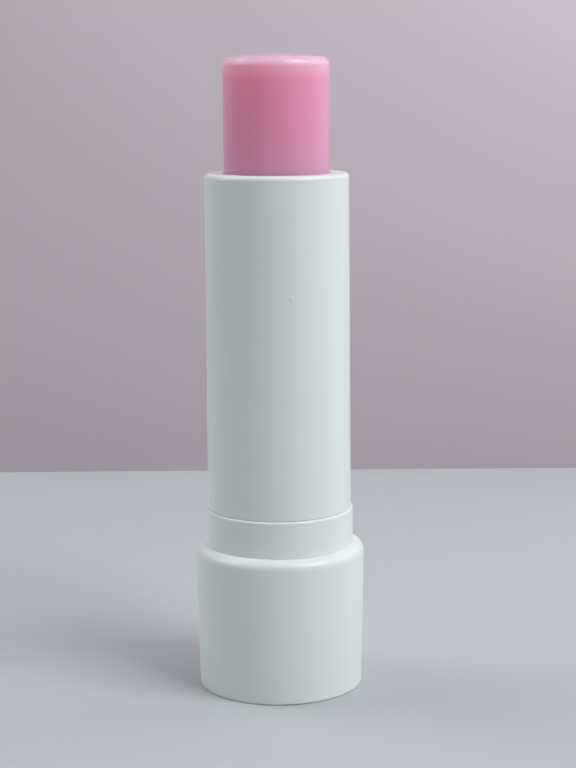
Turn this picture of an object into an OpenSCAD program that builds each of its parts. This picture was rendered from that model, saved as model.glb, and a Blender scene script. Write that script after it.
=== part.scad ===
// Lip balm stick with a turn-up cam mechanism, standing on its foot with the balm raised.
// Sizes are in millimetres, Z points up, and the origin is on the axis at the foot.
// Radii build outwards from the balm and heights build upwards from the foot.

/* [Balm] */
// Diameter of the balm bullet
balm_d = 12.1; // [11:0.1:14]
// Length of the bullet that stands out of the mouth
balm_shown = 13.35; // [6:0.05:20]
// Radius of the rounded shoulder at the bullet's tip
balm_shoulder = 1; // [0.4:0.1:2.4]
// Radius of the shallow crown across the bullet's tip
balm_crown = 45; // [15:1:90]
// Depth of the tip below the mouth when the bullet is wound down
hide_depth = 1.4; // [0.4:0.1:4]

/* [Cup] */
// Height of the cup that carries the bullet
cup_h = 10; // [6:0.5:14]
// Wall thickness of the cup
cup_wall = 0.38; // [0.3:0.02:0.6]
// Floor thickness of the cup
cup_floor = 0.8; // [0.5:0.1:1.5]
// Diameter of the air vent in the cup's floor
vent_d = 2.4; // [1:0.1:5]
// Number of grip ribs inside the cup
grip_count = 6; // [3:1:10]
// Width of each grip rib
grip_w = 0.5; // [0.3:0.05:0.9]
// Height of each grip rib off the cup's wall
grip_proud = 0.35; // [0.15:0.05:0.8]
// Depth of the grip ribs' tops below the cup's rim
grip_drop = 2.7; // [1:0.1:4]
// Diameter of the two lugs that the grooves drive
lug_d = 1.8; // [1.2:0.1:2.2]
// Length of cup wall under the lugs
lug_foot = 0.5; // [0.3:0.1:1.5]

/* [Inner body] */
// Wall thickness of the slotted guide tube
body_wall = 0.5; // [0.4:0.05:0.8]
// Wall thickness of the lower barrel that the collar grips
barrel_wall = 0.88; // [0.6:0.02:1.2]
// Height of the foot flange
flange_h = 1.2; // [0.8:0.1:2]
// Depth of the shoulder's edge below the collar's top
shoulder_drop = 1.9; // [1.2:0.1:3]
// Height of the snap rim at the top of the guide tube
rim_h = 0.8; // [0.5:0.1:1.5]
// Height of the snap rim off the guide tube's wall
rim_proud = 0.25; // [0.1:0.05:0.4]
// Number of slits that let the snap rim spring
slit_count = 4; // [2:1:8]
// Width of each slit
slit_w = 0.8; // [0.4:0.1:1.5]
// Depth of each slit below the snap rim
slit_len = 4; // [1:0.5:5]

/* [Drag ring] */
// Height of the rubber ring
ring_h = 0.9; // [0.6:0.1:1.4]
// Radius of the ring's rounded corners
ring_round = 0.18; // [0.08:0.02:0.2]
// Depth of the ring's seat in the inner body's wall
ring_seat = 0.1; // [0.05:0.01:0.2]
// Height of inner body above and below the ring
ring_land = 0.8; // [0.5:0.1:1.2]

/* [Spiral sleeve] */
// Rise of the cam groove in one full turn
lead = 24; // [14:1:40]
// Depth of the cam groove
groove_depth = 0.38; // [0.25:0.01:0.6]
// Wall left behind the cam groove
groove_web = 0.3; // [0.2:0.02:0.6]
// Number of drive keys between the sleeve and the tube
drive_count = 4; // [2:1:8]
// Width of each drive key
drive_w = 0.9; // [0.5:0.1:1.5]
// Length of each drive key
drive_len = 2; // [1:0.1:3]
// Height of each drive key off the sleeve's wall
drive_proud = 0.2; // [0.1:0.02:0.28]

/* [Tube] */
// Length of the tube above the collar
tube_len = 38.8; // [34:0.05:50]
// Wall thickness of the tube just under its mouth
tube_wall = 0.44; // [0.36:0.02:0.9]
// Growth of the tube's radius from its mouth to its foot
tube_draft = 0.12; // [0:0.02:0.3]
// Radius of the round outer edge at the mouth
mouth_round = 0.5; // [0.2:0.05:0.7]
// Thickness of the inward lip at the mouth
lip_t = 0.8; // [0.5:0.05:1.5]
// Radius of the lip's inner edge
lip_edge = 0.15; // [0.05:0.05:0.25]
// Radial gap between the lip and the bullet
mouth_gap = 0.15; // [0.1:0.05:0.6]

/* [Collar] */
// Height of the collar that shows between the base and the tube
collar_shown = 4.3; // [3:0.1:7]
// Step in radius from the tube's foot out to the collar
collar_step = 0.22; // [0.1:0.02:0.5]
// Radius of the collar's round top edge
collar_round = 0.3; // [0.1:0.05:0.5]
// Step in radius from the collar in to its neck
neck_inset = 0.18; // [0.16:0.01:0.25]
// Depth of the collar's neck in the base's mouth
neck_depth = 0.75; // [0.4:0.05:1.5]
// Width of the ledge that the collar's neck sits on
ledge_w = 0.1; // [0.08:0.01:0.2]
// Length of the collar's skirt below its neck
skirt_len = 8; // [5:0.5:10]

/* [Base] */
// Height of the base shell
base_h = 17; // [15:0.5:24]
// Wall thickness of the base shell at its mouth
base_wall = 1.46; // [1.2:0.01:2]
// Loss of radius from the base shell's shoulder to its foot
base_draft = 0.3; // [0:0.02:0.4]
// Radius of the base shell's round shoulder
base_round = 1.15; // [0.4:0.05:1.15]
// Radius of the base shell's bottom edge
foot_round = 0.2; // [0.1:0.05:0.5]
// Floor thickness of the base shell
base_floor = 1.2; // [0.8:0.1:2]
// Depth of the recess under the base shell
foot_recess = 0.6; // [0.3:0.1:1.2]
// Width of the ring that the base shell stands on
foot_land = 1.3; // [0.8:0.1:2.5]
// Number of keys that stop the inner body turning in the base shell
key_count = 6; // [3:1:10]
// Width of each key
key_w = 1.2; // [0.8:0.1:2]
// Height of each key off the base shell's bore
key_depth = 0.45; // [0.2:0.05:0.5]
// Length of each key above the floor
key_len = 3; // [2:0.1:4]

/* [Snap beads] */
// Width of each snap bead
bead_w = 0.9; // [0.6:0.1:1.4]
// Height of each snap bead off its wall
bead_proud = 0.12; // [0.06:0.02:0.2]

/* [Clearances] */
// Radial gap between pieces that are pressed together
fit_gap = 0.02; // [0.01:0.01:0.03]
// Radial gap between pieces that turn on each other
turn_gap = 0.07; // [0.05:0.01:0.1]
// Radial gap between the cup and its guide
slide_gap = 0.1; // [0.05:0.01:0.15]
// Gap between end faces that turn past each other
end_gap = 0.1; // [0.05:0.01:0.15]
// Gap between the collar's top and the tube's foot
foot_gap = 0.05; // [0.03:0.01:0.1]
// Radial gap between the rubber ring and the sleeve
ring_gap = 0.03; // [0.02:0.01:0.05]
// Gap on each side of a lug in its cam groove
groove_gap = 0.15; // [0.1:0.01:0.25]
// Gap past a lug at each end of its slot and groove
stop_gap = 0.3; // [0.2:0.05:0.6]

/* [Hidden] */
$fn = 96;
white_gloss = [0.90, 0.92, 0.92];
white_matt = [0.84, 0.85, 0.85];
white_natural = [0.80, 0.80, 0.77];
ring_grey = [0.25, 0.25, 0.27];
balm_pink = [0.86, 0.53, 0.65];
cut_over = 1;
full_turn = 360;
lug_count = 2;

// Radii of the mechanism, from the bullet outwards
balm_r = balm_d / 2;
cup_bore_r = balm_r + fit_gap;
cup_r = cup_bore_r + cup_wall;
body_bore_r = cup_r + slide_gap;
body_r = body_bore_r + body_wall;
sleeve_bore_r = body_r + turn_gap;
groove_r = sleeve_bore_r + groove_depth;
sleeve_r = groove_r + groove_web;
lug_tip_r = groove_r - turn_gap;

// Radii of the rubber ring's seat between the inner body and the sleeve
ring_bore_r = groove_r - fit_gap;
ring_r = ring_bore_r - ring_gap;
band_r = ring_bore_r - turn_gap;
seat_r = body_r - ring_seat;

// Radii of the outer shells
tube_bore_r = sleeve_r + fit_gap;
tube_mouth_r = tube_bore_r + tube_wall;
tube_foot_r = tube_mouth_r + tube_draft;
lip_r = balm_r + mouth_gap;
collar_r = tube_foot_r + collar_step;
collar_bore_r = sleeve_r + turn_gap;
neck_r = collar_r - neck_inset;
skirt_r = neck_r - ledge_w;
barrel_r = collar_bore_r - fit_gap;
barrel_bore_r = barrel_r - barrel_wall;
shell_mouth_r = neck_r + fit_gap;
shell_bore_r = skirt_r + fit_gap;
base_r = shell_mouth_r + base_wall;
base_foot_r = base_r - base_draft;
flange_r = shell_bore_r - fit_gap;

// Cam groove: the helix, half its height, and its rise past a lug's centre at each end
mid_groove_r = (sleeve_bore_r + groove_r) / 2;
lug_r = lug_d / 2;
helix_angle = atan(lead / (2 * PI * mid_groove_r));
groove_half = (lug_r + groove_gap) / cos(helix_angle);
groove_run_out = (lug_r + stop_gap) * lead / (2 * PI * sleeve_bore_r);

// Heights of the base and the collar
floor_z = foot_recess + base_floor;
seat_gap = 0.02;
ledge_z = base_h - neck_depth;
collar_z = base_h + seat_gap;
collar_top = base_h + collar_shown;
skirt_z = ledge_z - skirt_len;
shoulder_z = collar_top - shoulder_drop;
shell_bead_z = skirt_z + bead_w;
barrel_bead_z = ledge_z - 2 * bead_w;

// Heights of the tube, the sleeve and the inner body
tube_z = collar_top + foot_gap;
tube_top = tube_z + tube_len;
lip_z = tube_top - lip_t;
body_top = lip_z - end_gap;
sleeve_z = shoulder_z + end_gap;
sleeve_top = body_top - rim_h - end_gap;
drive_bead_z = tube_z + drive_len + 2 * bead_w;
ring_z = shoulder_z + end_gap + ring_land;
band_top = ring_z + ring_h + ring_land;

// Heights of the cup and the bullet, wound down, as shown and wound up
tip_z = tube_top + balm_shown;
travel_down = balm_shown + hide_depth;
counterbore_top = band_top + end_gap;
lug_low_z = counterbore_top + ring_land + groove_half + groove_run_out;
slot_bottom = lug_low_z - lug_r - stop_gap;
lug_z = lug_low_z + travel_down;
cup_z = lug_z - lug_r - lug_foot;
balm_z = cup_z + cup_floor;
grip_top = cup_z + cup_h - grip_drop;
travel_up = body_top - cup_z - cup_h;
lug_high_z = lug_z + travel_up;
slot_top = lug_high_z + lug_r + stop_gap;

// Where the cam groove starts and ends, and how finely it is swept
groove_low = lug_low_z - groove_run_out;
groove_high = lug_high_z + groove_run_out;
groove_step = 6;
groove_turns = (groove_high - groove_low) / lead;
groove_sections = ceil(groove_turns * full_turn / groove_step);
groove_start = (groove_low - lug_z) / lead * full_turn;

// A revolved wall between two radii and two heights
module ring_wall(inner, outer, low, high) {
    translate([inner, low])
        square([outer - inner, high - low]);
}

// A snap bead on a wall of the given radius, tapered on both sides
module bead(radius, middle, grow = 0) {
    reach = bead_proud + grow;
    half = bead_w / 2 + grow;
    polygon([
        [radius - reach, middle - half - reach],
        [radius, middle - half],
        [radius + reach, middle - half + reach],
        [radius + reach, middle + half - reach],
        [radius, middle + half],
        [radius - reach, middle + half + reach]
    ]);
}

// Points of the groove's cross-section at one step along the helix
function groove_ring(step) =
    let (
        share = step / groove_sections,
        turn = groove_start + share * groove_turns * full_turn,
        height = groove_low + share * (groove_high - groove_low),
        inside = sleeve_bore_r - groove_depth
    )
    [
        for (corner = [[inside, -1], [groove_r, -1], [groove_r, 1], [inside, 1]])
            [corner[0] * cos(turn), corner[0] * sin(turn), height + corner[1] * groove_half]
    ];

// One start of the cam groove, as a band that winds up the sleeve's bore
module cam_groove() {
    last = 4 * groove_sections;
    points = [for (step = [0 : groove_sections]) each groove_ring(step)];
    sides = [
        for (step = [0 : groove_sections - 1], corner = [0 : 3])
            let (a = 4 * step + corner, b = 4 * step + (corner + 1) % 4)
            each [[a, b, a + 4], [b, b + 4, a + 4]]
    ];
    ends = [[2, 1, 0], [3, 2, 0], [last, last + 1, last + 2], [last, last + 2, last + 3]];
    polyhedron(points, concat(sides, ends));
}

// Boxes that stand round the axis and cross a wall, as keys, notches, ribs or slits
module spokes(count, width, inner, outer, low, high, turn = 0) {
    for (index = [0 : count - 1])
        rotate(turn + index * full_turn / count)
            translate([inner, -width / 2, low])
                cube([outer - inner, width, high - low]);
}

// One straight slot with round ends, across one side of the guide tube
module guide_slot() {
    half = lug_r + slide_gap / 2;
    low = slot_bottom + half;
    high = slot_top - half;
    translate([0, -half, low])
        cube([body_r + cut_over, 2 * half, high - low]);
    for (height = [low, high])
        translate([0, 0, height])
            rotate([0, 90, 0])
                cylinder(r = half, h = body_r + cut_over);
}

// Outer base that the fingers turn: drafted wall, round shoulder, recessed floor
module base_shell() {
    shoulder_r = base_r - base_round;
    wall_top = base_h - base_round;
    color(white_gloss) union() {
        rotate_extrude() difference() {
            union() {
                polygon([
                    [0, 0],
                    [base_foot_r - foot_round, 0],
                    [base_foot_r, foot_round],
                    [base_r, wall_top],
                    [shoulder_r, base_h],
                    [0, base_h]
                ]);
                translate([shoulder_r, wall_top])
                    circle(r = base_round);
                translate([base_foot_r - foot_round, foot_round])
                    circle(r = foot_round);
            }
            translate([0, -cut_over])
                square([base_foot_r - foot_round - foot_land, foot_recess + cut_over]);
            ring_wall(0, shell_bore_r, floor_z, base_h + cut_over);
            ring_wall(0, shell_mouth_r, ledge_z, base_h + cut_over);
            bead(shell_bore_r, shell_bead_z, fit_gap);
        }
        spokes(key_count, key_w, shell_bore_r - key_depth, shell_bore_r + base_wall / 2,
            floor_z - base_floor / 2, floor_z + key_len);
    }
}

// Middle band: the cap's seat above, and a skirt that holds the inner body in the base
module collar() {
    top_r = collar_r - collar_round;
    color(white_gloss) rotate_extrude() difference() {
        union() {
            ring_wall(collar_bore_r, collar_r, collar_z, collar_top - collar_round);
            ring_wall(collar_bore_r, top_r, collar_z, collar_top);
            translate([top_r, collar_top - collar_round])
                circle(r = collar_round);
            ring_wall(collar_bore_r, neck_r, ledge_z, collar_z);
            ring_wall(collar_bore_r, skirt_r, skirt_z, ledge_z);
            bead(skirt_r, shell_bead_z);
        }
        bead(collar_bore_r, barrel_bead_z, fit_gap);
        ring_wall(0, collar_bore_r, skirt_z - cut_over, collar_top + cut_over);
    }
}

// Guide tube with two straight slots, on a barrel and flange that the base turns
module inner_body() {
    throat_z = shoulder_z - barrel_wall;
    rim_r = body_r + rim_proud;
    color(white_natural) difference() {
        rotate_extrude() difference() {
            union() {
                ring_wall(0, flange_r, floor_z, floor_z + flange_h);
                ring_wall(0, barrel_r, floor_z, shoulder_z);
                bead(barrel_r, barrel_bead_z);
                ring_wall(0, band_r, shoulder_z - barrel_wall, band_top);
                ring_wall(0, body_r, shoulder_z, body_top);
                polygon([
                    [0, body_top - rim_h],
                    [rim_r, body_top - rim_h],
                    [rim_r, body_top - rim_h / 2],
                    [body_r, body_top],
                    [0, body_top]
                ]);
            }
            ring_wall(seat_r, band_r + cut_over, ring_z, ring_z + ring_h);
            polygon([
                [0, floor_z - cut_over],
                [barrel_bore_r, floor_z - cut_over],
                [barrel_bore_r, throat_z - barrel_wall],
                [body_bore_r, throat_z],
                [body_bore_r, body_top + cut_over],
                [0, body_top + cut_over]
            ]);
        }
        for (index = [0 : lug_count - 1])
            rotate(index * full_turn / lug_count)
                guide_slot();
        spokes(slit_count, slit_w, 0, rim_r + cut_over,
            body_top - rim_h - slit_len, body_top + cut_over, full_turn / slit_count / 2);
        spokes(key_count, key_w + 2 * fit_gap, shell_bore_r - key_depth - fit_gap, flange_r + cut_over,
            floor_z - cut_over, floor_z + max(flange_h, key_len) + fit_gap);
    }
}

// Rubber ring that gives the turning its drag
module drag_ring() {
    low = ring_z + fit_gap;
    high = ring_z + ring_h - fit_gap;
    inner = seat_r + fit_gap;
    color(ring_grey) rotate_extrude() {
        ring_wall(inner, ring_r, low + ring_round, high - ring_round);
        ring_wall(inner + ring_round, ring_r - ring_round, low, high);
        for (x = [inner + ring_round, ring_r - ring_round], y = [low + ring_round, high - ring_round])
            translate([x, y])
                circle(r = ring_round);
    }
}

// Sleeve inside the tube, with the two cam grooves cut in its bore
module spiral_sleeve() {
    color(white_matt) difference() {
        union() {
            rotate_extrude() difference() {
                union() {
                    ring_wall(sleeve_bore_r, sleeve_r, sleeve_z, sleeve_top);
                    bead(sleeve_r, drive_bead_z);
                }
                ring_wall(0, sleeve_bore_r, sleeve_z - cut_over, sleeve_top + cut_over);
                ring_wall(0, ring_bore_r, sleeve_z - cut_over, counterbore_top);
            }
            spokes(drive_count, drive_w, sleeve_r - groove_web / 2, sleeve_r + drive_proud,
                tube_z + end_gap, tube_z + drive_len);
        }
        for (index = [0 : lug_count - 1])
            rotate(index * full_turn / lug_count)
                cam_groove();
    }
}

// Tube held in the hand: slight draft, round mouth edge, inward lip round the bullet
module tube() {
    mouth_crown_r = tube_mouth_r - mouth_round;
    wall_top = tube_top - mouth_round;
    color(white_gloss) difference() {
        rotate_extrude() difference() {
            union() {
                polygon([
                    [lip_r + lip_edge, tube_z],
                    [tube_foot_r, tube_z],
                    [tube_mouth_r, wall_top],
                    [mouth_crown_r, tube_top],
                    [lip_r + lip_edge, tube_top]
                ]);
                ring_wall(lip_r, lip_r + lip_t, lip_z, tube_top - lip_edge);
                translate([mouth_crown_r, wall_top])
                    circle(r = mouth_round);
                translate([lip_r + lip_edge, tube_top - lip_edge])
                    circle(r = lip_edge);
            }
            ring_wall(0, tube_bore_r, tube_z - cut_over, lip_z);
            bead(tube_bore_r, drive_bead_z, fit_gap);
        }
        spokes(drive_count, drive_w + 2 * fit_gap, tube_bore_r - cut_over, sleeve_r + drive_proud + fit_gap,
            tube_z - cut_over, tube_z + drive_len + fit_gap);
    }
}

// A round lug on the cup's wall, with its end curved like the floor of the groove
module lug() {
    root = cup_bore_r + cup_wall / 2;
    intersection() {
        translate([root, 0, lug_z])
            rotate([0, 90, 0])
                cylinder(r = lug_r, h = lug_tip_r - root + cut_over);
        translate([0, 0, lug_z - lug_d])
            cylinder(r = lug_tip_r, h = 2 * lug_d);
    }
}

// Cup that carries the bullet, with grip ribs inside and a lug on each side
module cup() {
    rim_round = cup_wall / 2;
    floor_top = cup_z + cup_floor;
    rim_middle = cup_z + cup_h - rim_round;
    color(white_natural) union() {
        rotate_extrude() {
            ring_wall(vent_d / 2, cup_r, cup_z, floor_top);
            ring_wall(cup_bore_r, cup_r, cup_z, rim_middle);
            translate([cup_bore_r + rim_round, rim_middle])
                circle(r = rim_round);
        }
        spokes(grip_count, grip_w, cup_bore_r - grip_proud, cup_bore_r + rim_round,
            floor_top - cup_floor / 2, grip_top);
        for (index = [0 : lug_count - 1])
            rotate(index * full_turn / lug_count)
                lug();
    }
}

// Bullet of balm: straight side, rounded shoulder and a shallow crown
module balm() {
    shoulder_r = balm_r - balm_shoulder;
    crown_z = tip_z - balm_crown;
    shoulder_mid_z = crown_z + sqrt(pow(balm_crown - balm_shoulder, 2) - pow(shoulder_r, 2));
    crown_edge_r = balm_crown * shoulder_r / (balm_crown - balm_shoulder);
    color(balm_pink) difference() {
        rotate_extrude() {
            ring_wall(0, balm_r, balm_z, shoulder_mid_z);
            intersection() {
                ring_wall(0, crown_edge_r, balm_z, tip_z);
                translate([0, crown_z])
                    circle(r = balm_crown);
            }
            translate([shoulder_r, shoulder_mid_z])
                circle(r = balm_shoulder);
        }
        spokes(grip_count, grip_w + 2 * fit_gap, cup_bore_r - grip_proud - fit_gap, balm_r + cut_over,
            balm_z - cut_over, grip_top + fit_gap);
    }
}

base_shell();
collar();
inner_body();
drag_ring();
spiral_sleeve();
tube();
cup();
balm();
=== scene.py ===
"""Dresses the lip balm stick: its finishes, its gate mark, a plain studio and the camera.

Lengths are in metres, and MM turns millimetres into them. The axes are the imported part's own.
"""

import logging
import math
from dataclasses import dataclass
from enum import Enum
from typing import Dict, List, Optional, Tuple, Union

import bmesh
import bpy
from mathutils import Matrix, Vector


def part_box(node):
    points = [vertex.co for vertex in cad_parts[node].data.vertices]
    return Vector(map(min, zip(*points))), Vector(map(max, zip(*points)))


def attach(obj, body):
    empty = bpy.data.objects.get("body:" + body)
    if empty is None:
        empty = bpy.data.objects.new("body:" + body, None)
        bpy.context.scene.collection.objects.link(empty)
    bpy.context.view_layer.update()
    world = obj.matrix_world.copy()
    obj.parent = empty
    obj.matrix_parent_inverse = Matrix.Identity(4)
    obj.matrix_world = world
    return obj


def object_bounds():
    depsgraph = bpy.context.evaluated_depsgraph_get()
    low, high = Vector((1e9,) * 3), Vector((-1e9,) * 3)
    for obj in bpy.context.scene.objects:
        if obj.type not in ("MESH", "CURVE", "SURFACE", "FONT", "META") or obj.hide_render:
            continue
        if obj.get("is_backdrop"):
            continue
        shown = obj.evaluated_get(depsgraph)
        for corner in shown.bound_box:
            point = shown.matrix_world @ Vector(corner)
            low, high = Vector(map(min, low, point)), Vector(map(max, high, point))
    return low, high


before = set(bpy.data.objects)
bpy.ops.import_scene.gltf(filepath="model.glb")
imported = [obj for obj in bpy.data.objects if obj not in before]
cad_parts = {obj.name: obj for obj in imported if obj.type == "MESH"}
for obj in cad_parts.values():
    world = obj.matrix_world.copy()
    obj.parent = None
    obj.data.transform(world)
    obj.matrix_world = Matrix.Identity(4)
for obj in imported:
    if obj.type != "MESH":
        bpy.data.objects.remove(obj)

MM = 0.001
AXES = 3
TRANSFORM_SIZE = 4
LEVEL_TURN = math.pi / 2
NOISE_MIDDLE = 0.5
LOG = logging.getLogger("lip_balm_stick")

Colour = Tuple[float, float, float]
Operand = Union["Wire", float]
Setting = Union[str, float, bool]
Value = Union["Wire", float, Tuple[float, ...]]


class Body(Enum):
    """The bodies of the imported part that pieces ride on."""

    BASE = "base"
    TUBE = "tube"
    CARRIER = "carrier"


class Slot(Enum):
    """The record's material slots."""

    WHITE_SHELL = "white_shell"
    NATURAL_PLASTIC = "natural_plastic"
    SLEEVE_PLASTIC = "sleeve_plastic"
    RING_RUBBER = "ring_rubber"
    BALM_WAX = "balm_wax"


class Wire:
    """An output socket with the arithmetic that the finishes use."""

    def __init__(self, board: "Board", socket: bpy.types.NodeSocket) -> None:
        """Keeps the socket, and the board on which its sums are added."""
        self.board = board
        self.socket = socket

    @property
    def many(self) -> bool:
        """Whether the socket holds a vector or a colour."""
        return self.socket.type in {"VECTOR", "RGBA"}

    def reckon(self, operation: str, first: Operand, second: Operand) -> "Wire":
        """Adds the Math or Vector Math node of one sum.

        Args:
            operation: The node's operation, such as ADD.
            first: The left operand.
            second: The right operand.

        Returns:
            The result of the sum.
        """
        many = any(isinstance(side, Wire) and side.many for side in (first, second))
        if not many:
            return self.board.add("ShaderNodeMath", {"operation": operation}, {0: first, 1: second})
        sides = [side if isinstance(side, Wire) else (side,) * AXES for side in (first, second)]
        return self.board.add("ShaderNodeVectorMath", {"operation": operation}, {0: sides[0], 1: sides[1]})

    def __add__(self, other: Operand) -> "Wire":
        """Adds the other operand."""
        return self.reckon("ADD", self, other)

    def __radd__(self, other: Operand) -> "Wire":
        """Adds to the other operand."""
        return self.reckon("ADD", other, self)

    def __sub__(self, other: Operand) -> "Wire":
        """Takes the other operand away."""
        return self.reckon("SUBTRACT", self, other)

    def __rsub__(self, other: Operand) -> "Wire":
        """Takes this away from the other operand."""
        return self.reckon("SUBTRACT", other, self)

    def __mul__(self, other: Operand) -> "Wire":
        """Multiplies by the other operand."""
        return self.reckon("MULTIPLY", self, other)

    def __rmul__(self, other: Operand) -> "Wire":
        """Multiplies the other operand."""
        return self.reckon("MULTIPLY", other, self)

    def ramp(self, low: float, high: float) -> "Wire":
        """A straight ramp from 0 at low to 1 at high, level outside them."""
        return self.board.add("ShaderNodeMapRange", {}, {"Value": self, "From Min": low, "From Max": high})


class Board:
    """The node tree of one finish."""

    def __init__(self, tree: bpy.types.NodeTree) -> None:
        """Empties the tree."""
        self.tree = tree
        tree.nodes.clear()

    def add(
        self,
        kind: str,
        settings: Optional[Dict[str, Setting]] = None,
        inputs: Optional[Dict[Union[str, int], Value]] = None,
        output: Union[str, int] = 0,
    ) -> Wire:
        """Adds a node.

        Args:
            kind: The node's type.
            settings: The node's own settings, which are set first.
            inputs: Values or wires for the input sockets, by name, identifier or place.
            output: The output socket, by name, identifier or place.

        Returns:
            The output socket as a wire.
        """
        node = self.tree.nodes.new(kind)
        for name, setting in (settings or {}).items():
            setattr(node, name, setting)
        for key, value in (inputs or {}).items():
            socket = self.find(node.inputs, key)
            if isinstance(value, Wire):
                self.tree.links.new(value.socket, socket)
            elif socket.type == "RGBA":
                socket.default_value = (*value, 1.0)
            else:
                socket.default_value = value
        outlets = node.outputs
        return Wire(self, self.find(outlets, output) if len(outlets) else None)

    @staticmethod
    def find(sockets: bpy.types.bpy_prop_collection, key: Union[str, int]) -> bpy.types.NodeSocket:
        """Finds a socket.

        Args:
            sockets: A node's inputs or outputs.
            key: The socket's place, identifier or name.

        Returns:
            The socket.
        """
        if isinstance(key, int):
            return sockets[key]
        return next(s for s in sockets if key in (s.identifier, s.name))

    def place(self) -> Wire:
        """The shaded point in the object's own frame, in metres."""
        return self.add("ShaderNodeTexCoord", output="Object")

    def part(self, vector: Wire, axis: str) -> Wire:
        """One axis of a vector, which is X, Y or Z."""
        return self.add("ShaderNodeSeparateXYZ", {}, {"Vector": vector}, axis)

    def noise(self, grain: float, detail: float = 2.0) -> Wire:
        """Soft noise over the surface.

        Args:
            grain: The size of its lumps.
            detail: How many finer layers it has.

        Returns:
            The noise, from 0 to 1.
        """
        inputs = {"Vector": self.place(), "Scale": 1.0 / grain, "Detail": detail}
        return self.add("ShaderNodeTexNoise", {}, inputs)

    def mix(self, share: Operand, low: Value, high: Value) -> Wire:
        """Mixes two colours.

        Args:
            share: How much of the second colour shows.
            low: The first colour.
            high: The second colour.

        Returns:
            The mixed colour.
        """
        inputs = {"Factor_Float": share, "A_Color": low, "B_Color": high}
        return self.add("ShaderNodeMix", {"data_type": "RGBA"}, inputs, "Result_Color")


def new_material(name: str) -> Tuple[bpy.types.Material, Board]:
    """Makes an empty node material.

    Args:
        name: The material's name.

    Returns:
        The material and the board of its node tree.
    """
    material = bpy.data.materials.new(name)
    material.use_nodes = True
    return material, Board(material.node_tree)


@dataclass(frozen=True)
class Moulding:
    """A moulded plastic or rubber: its tones, its gloss and the fine waviness of its skin."""

    name: str
    slot: Slot
    tone: Colour
    cloud_tone: Colour
    roughness: float
    roughness_spread: float
    cloud_grain: float = 5 * MM
    skin_grain: float = 0.16 * MM
    skin_depth: float = 0.0012 * MM
    wave_grain: float = 4 * MM
    wave_depth: float = 0.004 * MM
    index: float = 1.49

    def make(self) -> bpy.types.Material:
        """Builds the material.

        Returns:
            The material.
        """
        material, board = new_material(self.name)
        clouds = board.noise(self.cloud_grain)
        skin = board.noise(self.skin_grain)
        waves = board.noise(self.wave_grain, detail=1.0)
        fine = board.add("ShaderNodeBump", {}, {"Distance": self.skin_depth, "Height": skin}, "Normal")
        bump = {"Distance": self.wave_depth, "Height": waves, "Normal": fine}
        shader = board.add(
            "ShaderNodeBsdfPrincipled",
            {},
            {
                "Base Color": board.mix(clouds, self.tone, self.cloud_tone),
                "Roughness": self.roughness + self.roughness_spread * (clouds - NOISE_MIDDLE),
                "IOR": self.index,
                "Normal": board.add("ShaderNodeBump", {}, bump, "Normal"),
            },
        )
        board.add("ShaderNodeOutputMaterial", {}, {"Surface": shader})
        return material


@dataclass(frozen=True)
class Wax:
    """The balm: a translucent wax under a smooth poured skin, with painted glow that makes it palest round
    the edge of its tip.
    """

    name: str
    slot: Slot
    tone: Colour
    cloud_tone: Colour
    # Painted glow: the edge and crown tones stand in for light entering the tip, not for the wax's own
    # colour.
    edge_painted_glow_tone: Colour
    crown_painted_light_tone: Colour
    roughness: float
    scatter_depth: float
    scatter_tint: Colour
    roughness_spread: float = 0.06
    scatter_share: float = 0.8
    edge_reach: float = 2.8 * MM
    edge_drop: float = 0.8 * MM
    crown_drop: float = 0.3 * MM
    index: float = 1.43
    film: float = 0.25
    film_roughness: float = 0.08
    cloud_grain: float = 3 * MM
    pour_grain: float = 2.5 * MM
    pour_depth: float = 0.01 * MM

    def make(self, tip: float) -> bpy.types.Material:
        """Builds the material.

        Args:
            tip: The height of the bullet's tip.

        Returns:
            The material.
        """
        material, board = new_material(self.name)
        clouds = board.noise(self.cloud_grain)
        height = board.part(board.place(), "Z")
        body = board.mix(clouds, self.tone, self.cloud_tone)
        # Painted glow: the colour pales towards the edge of the tip, where light entering the tip would glow,
        # and the crown takes a tone set for its lit brightness.
        edge = board.mix(height.ramp(tip - self.edge_reach, tip - self.edge_drop), body, self.edge_painted_glow_tone)
        crown = height.ramp(tip - self.edge_drop, tip - self.crown_drop)
        pour = board.noise(self.pour_grain, detail=1.0)
        bump = {"Distance": self.pour_depth, "Height": pour}
        shader = board.add(
            "ShaderNodeBsdfPrincipled",
            {"subsurface_method": "RANDOM_WALK"},
            {
                "Base Color": board.mix(crown, edge, self.crown_painted_light_tone),
                "Roughness": self.roughness + self.roughness_spread * (clouds - NOISE_MIDDLE),
                "IOR": self.index,
                "Subsurface Weight": self.scatter_share,
                "Subsurface Radius": self.scatter_tint,
                "Subsurface Scale": self.scatter_depth,
                "Coat Weight": self.film,
                "Coat Roughness": self.film_roughness,
                "Normal": board.add("ShaderNodeBump", {}, bump, "Normal"),
            },
        )
        board.add("ShaderNodeOutputMaterial", {}, {"Surface": shader})
        return material


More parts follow.
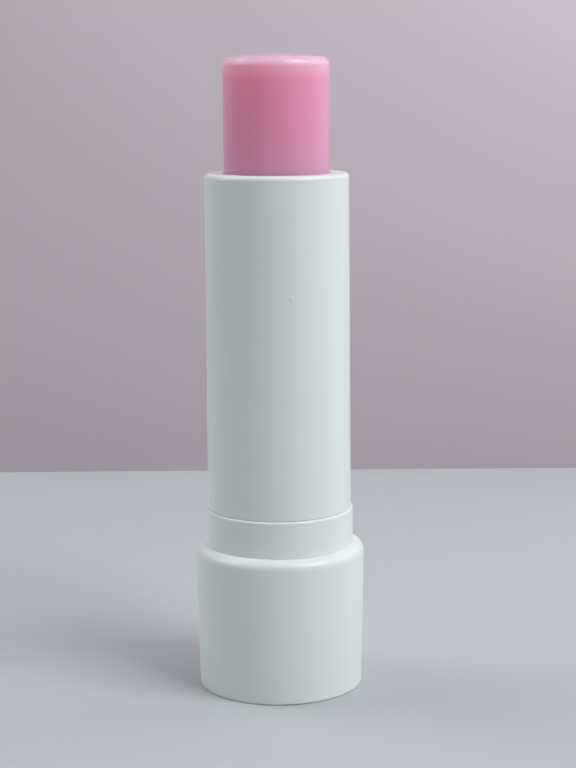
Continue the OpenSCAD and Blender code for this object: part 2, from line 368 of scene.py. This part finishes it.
@dataclass(frozen=True)
class Backing:
    """A matt surface of the studio, which can take painted light that makes it lighter with height, most of
    all to the right.

    A one-sided surface is clear from behind, so that it hides nothing in a view from there.
    """

    name: str
    tone: Colour
    one_sided: bool = False
    # Painted light: these gains make the tone lighter with height and towards the right.
    painted_light_rise: float = 0.0
    painted_light_right: float = 0.0
    fade_low: float = 5 * MM
    fade_high: float = 82 * MM
    fade_half: float = 50 * MM

    def make(self) -> bpy.types.Material:
        """Builds the material.

        Returns:
            The material.
        """
        material, board = new_material(self.name)
        spot = board.place()
        side = board.part(spot, "X").ramp(-self.fade_half, self.fade_half)
        rise = board.part(spot, "Z").ramp(self.fade_low, self.fade_high)
        # Painted light: the tone grows lighter with height, most of all to the right.
        painted_light = 1 + rise * (self.painted_light_rise + self.painted_light_right * side)
        # The same colour at both ends of a mix makes it a wire, which the painted light can then multiply.
        colour = board.mix(0.0, self.tone, self.tone) * painted_light
        shader = board.add("ShaderNodeBsdfDiffuse", {}, {"Color": colour})
        if self.one_sided:
            behind = board.add("ShaderNodeNewGeometry", output="Backfacing")
            clear = board.add("ShaderNodeBsdfTransparent")
            shader = board.add("ShaderNodeMixShader", {}, {0: behind, 1: shader, 2: clear})
        board.add("ShaderNodeOutputMaterial", {}, {"Surface": shader})
        return material


WHITE_GLOSS = Moulding(
    "white_gloss",
    Slot.WHITE_SHELL,
    tone=(0.795, 0.87, 0.86),
    cloud_tone=(0.785, 0.86, 0.85),
    roughness=0.3,
    roughness_spread=0.05,
)
NATURAL_SATIN = Moulding(
    "natural_satin",
    Slot.NATURAL_PLASTIC,
    tone=(0.8, 0.8, 0.77),
    cloud_tone=(0.77, 0.77, 0.74),
    roughness=0.42,
    roughness_spread=0.08,
)
WHITE_SATIN = Moulding(
    "white_satin",
    Slot.SLEEVE_PLASTIC,
    tone=(0.8, 0.82, 0.82),
    cloud_tone=(0.77, 0.79, 0.79),
    roughness=0.4,
    roughness_spread=0.08,
)
RING_RUBBER = Moulding(
    "ring_rubber",
    Slot.RING_RUBBER,
    tone=(0.02, 0.02, 0.022),
    cloud_tone=(0.03, 0.03, 0.032),
    roughness=0.7,
    roughness_spread=0.1,
)
PINK_WAX = Wax(
    "pink_wax",
    Slot.BALM_WAX,
    tone=(0.78, 0.37, 0.55),
    cloud_tone=(0.77, 0.355, 0.535),
    # Painted glow near the tip: a paler edge tone, and a crown tone set for the crown's lit brightness.
    edge_painted_glow_tone=(0.78, 0.56, 0.68),
    crown_painted_light_tone=(0.7, 0.39, 0.56),
    roughness=0.2,
    scatter_depth=12 * MM,
    scatter_tint=(1.0, 0.2, 0.22),
)


@dataclass(frozen=True)
class PhotoCamera:
    """The camera of the photograph. It stands before the stick and looks along +Y, a little down.

    The focal length and the sensor are in millimetres, and the picture is in pixels.
    """

    beside: float = 1.102 * MM
    distance: float = 206.69 * MM
    height: float = 72.024 * MM
    tilt_down: float = 0.174
    roll: float = -0.008
    focal_length: float = 84.617
    sensor: float = 36.0
    clip_start: float = 10 * MM
    clip_end: float = 10.0
    picture: Tuple[int, int] = (576, 768)

    def make(self) -> None:
        """Makes the camera and looks through it."""
        data = bpy.data.cameras.new("camera")
        data.lens = self.focal_length
        data.sensor_width = self.sensor
        data.clip_start = self.clip_start
        data.clip_end = self.clip_end
        camera = bpy.data.objects.new("camera", data)
        camera.matrix_world = self.stand
        bpy.context.scene.collection.objects.link(camera)
        bpy.context.scene.camera = camera

    @property
    def stand(self) -> Matrix:
        """Where the camera stands and how it is turned.

        Returns:
            The camera's placing.
        """
        pitch = Matrix.Rotation(LEVEL_TURN - self.tilt_down, TRANSFORM_SIZE, "X")
        turn = pitch @ Matrix.Rotation(self.roll, TRANSFORM_SIZE, "Z")
        return Matrix.Translation((self.beside, -self.distance, self.height)) @ turn

    def ray(self, across: float, down: float) -> Tuple[Vector, Vector]:
        """The line of sight through a pixel of the photograph.

        Args:
            across: The pixel's distance from the picture's left edge.
            down: Its distance from the top edge.

        Returns:
            The camera's place and the direction of sight.
        """
        wide, high = self.picture
        focal_pixels = self.focal_length / self.sensor * max(wide, high)
        aim = Vector((across - wide / 2, high / 2 - down, -focal_pixels)).normalized()
        return self.stand.translation, self.stand.to_3x3() @ aim


@dataclass
class Assembly:
    """A sub-assembly: the body that its pieces move with."""

    body: Body

    def dress_node(self, node: str, material: bpy.types.Material, slot: Slot) -> None:
        """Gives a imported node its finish.

        Args:
            node: The node's name.
            material: The finish.
            slot: The record's slot that the finish is for.
        """
        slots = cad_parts[node].data.materials
        slots.clear()
        slots.append(material)
        LOG.info("%s: %s in %s, for slot %s", self.body.value, node, material.name, slot.value)


@dataclass
class BaseAssembly(Assembly):
    """The base: the outer shell, the collar, the guide tube and the drag ring."""

    body: Body = Body.BASE

    def dress(self, white: bpy.types.Material) -> None:
        """Dresses the base's nodes.

        Args:
            white: The glossy white that the outer shells share.
        """
        self.dress_node("base_shell", white, WHITE_GLOSS.slot)
        self.dress_node("collar", white, WHITE_GLOSS.slot)
        self.dress_node("inner_body", NATURAL_SATIN.make(), NATURAL_SATIN.slot)
        self.dress_node("drag_ring", RING_RUBBER.make(), RING_RUBBER.slot)


@dataclass
class TubeAssembly(Assembly):
    """The tube held in the hand, with the spiral sleeve fixed inside it and its gate mark outside."""

    body: Body = Body.TUBE
    mark_across: float = 291.8
    mark_down: float = 299.2
    mark_radius: float = 0.32 * MM
    mark_proud: float = 0.04 * MM
    mark_root: float = 0.02 * MM
    mark_rings: int = 8
    mark_sides: int = 32

    def dress(self, white: bpy.types.Material) -> None:
        """Dresses the tube's nodes.

        Args:
            white: The glossy white that the outer shells share.
        """
        self.dress_node("tube", white, WHITE_GLOSS.slot)
        self.dress_node("spiral_sleeve", WHITE_SATIN.make(), WHITE_SATIN.slot)

    def mark_mesh(self) -> bpy.types.Mesh:
        """Models the gate mark: a low dome with a soft foot, closed below, that points along +Z.

        Returns:
            The gate mark's mesh.
        """
        shape = bmesh.new()
        centre = shape.verts.new((0.0, 0.0, self.mark_proud))
        rings = []
        for step in range(1, self.mark_rings + 1):
            out = step / self.mark_rings
            lift = self.mark_proud * (1 + math.cos(math.pi * out)) / 2
            rings.append(self.mark_ring(shape, self.mark_radius * out, lift))
        rings.append(self.mark_ring(shape, self.mark_radius, -self.mark_root))
        sides = range(self.mark_sides)
        for side in sides:
            shape.faces.new((centre, rings[0][side - 1], rings[0][side]))
            for inner, outer in zip(rings, rings[1:]):
                shape.faces.new((inner[side - 1], outer[side - 1], outer[side], inner[side]))
        shape.faces.new([rings[-1][side] for side in reversed(sides)])
        for face in shape.faces:
            face.smooth = True
        mesh = bpy.data.meshes.new("gate_mark")
        shape.to_mesh(mesh)
        shape.free()
        return mesh

    def mark_ring(self, shape: bmesh.types.BMesh, radius: float, lift: float) -> List[bmesh.types.BMVert]:
        """Adds one ring of the gate mark's points.

        Args:
            shape: The mesh in the making.
            radius: The ring's radius.
            lift: Its height over the tube's wall.

        Returns:
            The ring's points.
        """
        turns = [2 * math.pi * side / self.mark_sides for side in range(self.mark_sides)]
        return [shape.verts.new((radius * math.cos(turn), radius * math.sin(turn), lift)) for turn in turns]

    def add_mark(self, camera: PhotoCamera, white: bpy.types.Material) -> None:
        """Sets the gate mark on the tube's wall, where the photograph shows it.

        Args:
            camera: The photograph's camera.
            white: The glossy white of the tube.
        """
        origin, aim = camera.ray(self.mark_across, self.mark_down)
        hit, spot, normal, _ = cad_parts["tube"].ray_cast(origin, aim)
        if not hit:
            raise ValueError("the gate mark misses the tube")
        mesh = self.mark_mesh()
        mesh.transform(Matrix.Translation(spot) @ normal.to_track_quat("Z", "Y").to_matrix().to_4x4())
        mesh.materials.append(white)
        mark = bpy.data.objects.new("gate_mark", mesh)
        bpy.context.scene.collection.objects.link(mark)
        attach(mark, self.body.value)
        LOG.info("%s: gate_mark at %.2f, %.2f, %.2f mm", self.body.value, *(spot / MM))


@dataclass
class CarrierAssembly(Assembly):
    """The cup and the bullet of balm that it carries."""

    body: Body = Body.CARRIER

    def dress(self) -> None:
        """Dresses the carrier's nodes."""
        _, (_, _, tip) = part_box("balm")
        self.dress_node("cup", NATURAL_SATIN.make(), NATURAL_SATIN.slot)
        self.dress_node("balm", PINK_WAX.make(tip), PINK_WAX.slot)


@dataclass(frozen=True)
class SoftPanel:
    """A soft lamp that faces the stick. Azimuth 0 is the camera's side and 90 is the right.

    Azimuth and elevation are in degrees, and power is in watts.
    """

    name: str
    azimuth: float
    elevation: float
    width: float
    height: float
    power: float
    distance: float = 0.7

    def make(self, target: Vector) -> None:
        """Hangs the lamp.

        Args:
            target: The point that it faces.
        """
        data = bpy.data.lights.new(self.name, "AREA")
        data.shape = "RECTANGLE"
        data.size = self.width
        data.size_y = self.height
        data.energy = self.power
        lamp = bpy.data.objects.new(self.name, data)
        turn, rise = math.radians(self.azimuth), math.radians(self.elevation)
        away = Vector((math.sin(turn) * math.cos(rise), -math.cos(turn) * math.cos(rise), math.sin(rise)))
        lamp.location = target + away * self.distance
        lamp.rotation_mode = "QUATERNION"
        lamp.rotation_quaternion = away.to_track_quat("Z", "Y")
        lamp.visible_camera = False
        bpy.context.scene.collection.objects.link(lamp)


@dataclass(frozen=True)
class Studio:
    """A plain pale table, a wall behind it with painted light that grows towards its top right, and soft
    light.
    """

    table_half: float = 1.2
    wall_behind: float = 113 * MM
    wall_half: float = 0.9
    wall_height: float = 1.1
    table_finish: Backing = Backing("table", (0.47, 0.5, 0.52))
    # The wall carries painted light, lighter high up and to the right.
    wall_finish: Backing = Backing("wall", (0.57, 0.5, 0.55), one_sided=True, painted_light_rise=0.2, painted_light_right=0.26)
    air: Colour = (1.0, 1.0, 1.0)
    air_strength: float = 0.1
    panels: Tuple[SoftPanel, ...] = (
        SoftPanel("key_panel", azimuth=57.0, elevation=45.0, width=0.42, height=0.32, power=3.15),
        SoftPanel("side_panel", azimuth=105.0, elevation=20.0, width=0.5, height=0.5, power=0.6),
        SoftPanel("front_panel", azimuth=30.0, elevation=30.0, width=0.35, height=0.35, power=0.25),
        SoftPanel("left_panel", azimuth=-120.0, elevation=45.0, width=0.35, height=0.35, power=1.0),
        SoftPanel("far_left_panel", azimuth=-90.0, elevation=30.0, width=0.35, height=0.35, power=0.8),
        SoftPanel(
            "near_left_panel",
            azimuth=-110.0,
            elevation=50.0,
            width=0.2,
            height=0.1,
            power=0.12,
            distance=0.35,
        ),
        SoftPanel("top_panel", azimuth=60.0, elevation=72.0, width=0.35, height=0.35, power=0.4),
        SoftPanel("sky_panel", azimuth=180.0, elevation=85.0, width=0.5, height=0.5, power=0.35),
    )

    def sheet(self, name: str, corners: List[Vector], finish: Backing) -> bpy.types.Object:
        """Makes one flat surface of the studio.

        Args:
            name: The object's name.
            corners: Its four corners, in order round its face.
            finish: Its finish.

        Returns:
            The surface.
        """
        mesh = bpy.data.meshes.new(name)
        mesh.from_pydata([tuple(corner) for corner in corners], [], [(0, 1, 2, 3)])
        mesh.materials.append(finish.make())
        surface = bpy.data.objects.new(name, mesh)
        bpy.context.scene.collection.objects.link(surface)
        surface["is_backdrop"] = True
        return surface

    def make(self) -> None:
        """Sets up the table, the wall, the air's own light and the panels."""
        half = self.table_half
        table = [Vector((x, y, 0.0)) for x, y in ((-half, -half), (half, -half), (half, half), (-half, half))]
        self.sheet("table", table, self.table_finish)
        wide, high, back = self.wall_half, self.wall_height, self.wall_behind
        wall = [Vector((x, back, z)) for x, z in ((-wide, 0.0), (wide, 0.0), (wide, high), (-wide, high))]
        self.sheet("wall", wall, self.wall_finish).visible_shadow = False
        world = bpy.data.worlds.new("air")
        world.use_nodes = True
        bpy.context.scene.world = world
        board = Board(world.node_tree)
        light = board.add("ShaderNodeBackground", {}, {"Color": self.air, "Strength": self.air_strength})
        board.add("ShaderNodeOutputWorld", {}, {"Surface": light})
        low_corner, high_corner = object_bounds()
        for panel in self.panels:
            panel.make((low_corner + high_corner) / 2)


def main() -> None:
    """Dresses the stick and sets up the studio."""
    logging.basicConfig(level=logging.INFO, format="%(message)s")
    bpy.context.view_layer.update()
    bpy.context.scene.view_settings.view_transform = "Standard"
    camera = PhotoCamera()
    camera.make()
    Studio().make()
    white = WHITE_GLOSS.make()
    BaseAssembly().dress(white)
    tube = TubeAssembly()
    tube.dress(white)
    tube.add_mark(camera, white)
    CarrierAssembly().dress()


if __name__ == "__main__":
    main()
